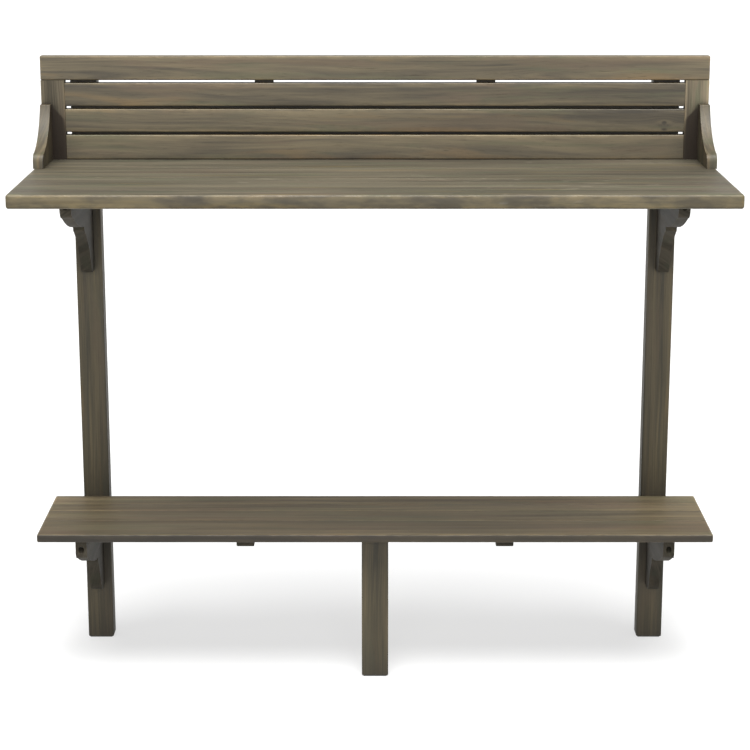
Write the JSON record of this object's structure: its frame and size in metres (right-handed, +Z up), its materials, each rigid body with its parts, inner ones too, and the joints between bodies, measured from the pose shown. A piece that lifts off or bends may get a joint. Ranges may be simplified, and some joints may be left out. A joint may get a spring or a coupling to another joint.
{
  "type": "potting bench",
  "caption": "Counter-height potting bench with a deep plank top, slatted back panel, end brackets and a low shelf on tall rear posts and a short front leg.",
  "frame": {"origin": "middle of the footprint, on the floor under the feet", "axes": "+X to the right along the tabletop, +Y to the back where the posts stand, +Z up"},
  "size_m": [1.206, 0.464, 1.112],
  "materials": {
    "tabletop_wood": "grey-brown stained hardwood, oiled, worn along the edges",
    "panel_wood": "grey-brown stained hardwood, matte",
    "shelf_wood": "grey-brown stained hardwood, matte",
    "frame_wood": "darker grey-brown stained hardwood, matte",
    "cleat_wood": "thinly stained hardwood, sawn and sanded",
    "dowel_wood": "unfinished beech",
    "steel_fittings": "zinc-plated, slightly dull"
  },
  "bodies": {
    "root": {"top_board_front": "tabletop_wood", "top_board_second": "tabletop_wood", "top_board_third": "tabletop_wood", "top_board_rear": "tabletop_wood", "top_cleat_left": "cleat_wood", "top_cleat_centre": "cleat_wood", "top_cleat_right": "cleat_wood", "panel_top_rail": "panel_wood", "panel_stile_left": "panel_wood", "panel_stile_right": "panel_wood", "panel_slat_upper": "panel_wood", "panel_slat_middle": "panel_wood", "panel_slat_lower": "panel_wood", "panel_batten_left": "cleat_wood", "panel_batten_right": "cleat_wood", "back_rail": "cleat_wood", "side_bracket_left": "panel_wood", "side_bracket_right": "panel_wood", "rear_post_left": "frame_wood", "rear_post_right": "frame_wood", "table_apron": "cleat_wood", "shelf_stretcher": "cleat_wood", "table_corbel_left": "frame_wood", "table_corbel_right": "frame_wood", "shelf_corbel_left": "frame_wood", "shelf_corbel_right": "frame_wood", "shelf_board_front": "shelf_wood", "shelf_board_second": "shelf_wood", "shelf_board_third": "shelf_wood", "shelf_board_rear": "shelf_wood", "shelf_cleat_left": "cleat_wood", "shelf_cleat_right": "cleat_wood", "front_leg": "frame_wood", "front_leg_block": "cleat_wood", "corbel_bolts": "steel_fittings", "corbel_bolt_washers": "steel_fittings", "corbel_barrel_nuts": "steel_fittings", "corbel_nose_screws": "steel_fittings", "front_leg_bolts": "steel_fittings", "front_leg_washers": "steel_fittings", "front_leg_inserts": "steel_fittings", "panel_screws": "steel_fittings", "batten_screws": "steel_fittings", "rail_screws": "steel_fittings", "bracket_screws": "steel_fittings", "cleat_screws": "steel_fittings", "leg_block_screws": "steel_fittings", "top_dowels": "dowel_wood", "shelf_dowels": "dowel_wood", "panel_dowels": "dowel_wood", "frame_dowels": "dowel_wood"}
  },
  "joints": []
}
